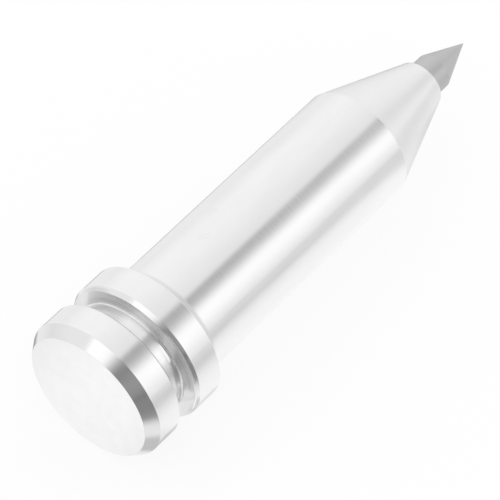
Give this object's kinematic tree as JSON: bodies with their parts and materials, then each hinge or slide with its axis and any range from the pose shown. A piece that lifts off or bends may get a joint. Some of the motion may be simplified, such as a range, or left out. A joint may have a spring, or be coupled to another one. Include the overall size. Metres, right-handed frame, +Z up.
{
  "type": "live center",
  "caption": "Straight-barrel live center: grooved retaining head, ball-bearing spindle with conical nose and a brazed carbide point that turns with the work.",
  "frame": {"origin": "on the axis, at the shoulder where the barrel leaves the head", "axes": "+X along the axis towards the carbide point, +Z up"},
  "size_m": [0.1167, 0.0314, 0.0314],
  "materials": {
    "barrel_steel": "polished, with faint handling marks",
    "head_steel": "polished bands, finely faced end, darker turned groove wall",
    "nose_steel": "satin ground cone",
    "carbide": "grey satin ground carbide",
    "ground_steel": "ground",
    "bearing_steel": "ground, with polished raceways",
    "ball_steel": "mirror polished",
    "spring_steel": "blued spring steel",
    "washer_steel": "stamped, plain",
    "oxide_steel": "black oxide",
    "case_steel": "pressed sheet",
    "phenolic": "fabric laminate",
    "nylon": "moulded",
    "rubber": "moulded"
  },
  "bodies": {
    "housing": {"barrel": "barrel_steel", "grooved_head": "head_steel", "head_o_ring": "rubber", "front_outer_ring": "bearing_steel", "second_outer_ring": "bearing_steel", "rear_outer_ring": "bearing_steel", "rear_shield_front": "case_steel", "rear_shield_back": "case_steel", "preload_spring_front": "spring_steel", "preload_spring_back": "spring_steel", "seal_case": "case_steel", "seal_lip": "rubber"},
    "spindle": {"spindle": "nose_steel", "carbide_point": "carbide", "front_inner_ring": "bearing_steel", "second_inner_ring": "bearing_steel", "rear_inner_ring": "bearing_steel", "spacer_sleeve": "ground_steel", "tab_washer": "washer_steel", "lock_nut": "oxide_steel"},
    "front_ball_set": {"front_balls": "ball_steel", "front_cage": "phenolic"},
    "second_ball_set": {"second_balls": "ball_steel", "second_cage": "phenolic"},
    "rear_ball_set": {"rear_balls": "ball_steel", "rear_cage": "nylon"}
  },
  "joints": [
    {"name": "spindle_spin", "type": "hinge", "parent": "housing", "child": "spindle", "pos_m": [0, 0, 0], "axis": [1, 0, 0], "continuous": true},
    {"name": "front_cage_spin", "type": "hinge", "parent": "housing", "child": "front_ball_set", "pos_m": [0, 0, 0], "axis": [1, 0, 0], "continuous": true},
    {"name": "second_cage_spin", "type": "hinge", "parent": "housing", "child": "second_ball_set", "pos_m": [0, 0, 0], "axis": [1, 0, 0], "continuous": true},
    {"name": "rear_cage_spin", "type": "hinge", "parent": "housing", "child": "rear_ball_set", "pos_m": [0, 0, 0], "axis": [1, 0, 0], "continuous": true}
  ],
  "couplings": [
    {"joint": "front_cage_spin", "follows": "spindle_spin", "ratio": 0.3927},
    {"joint": "second_cage_spin", "follows": "spindle_spin", "ratio": 0.3927},
    {"joint": "rear_cage_spin", "follows": "spindle_spin", "ratio": 0.3889}
  ]
}
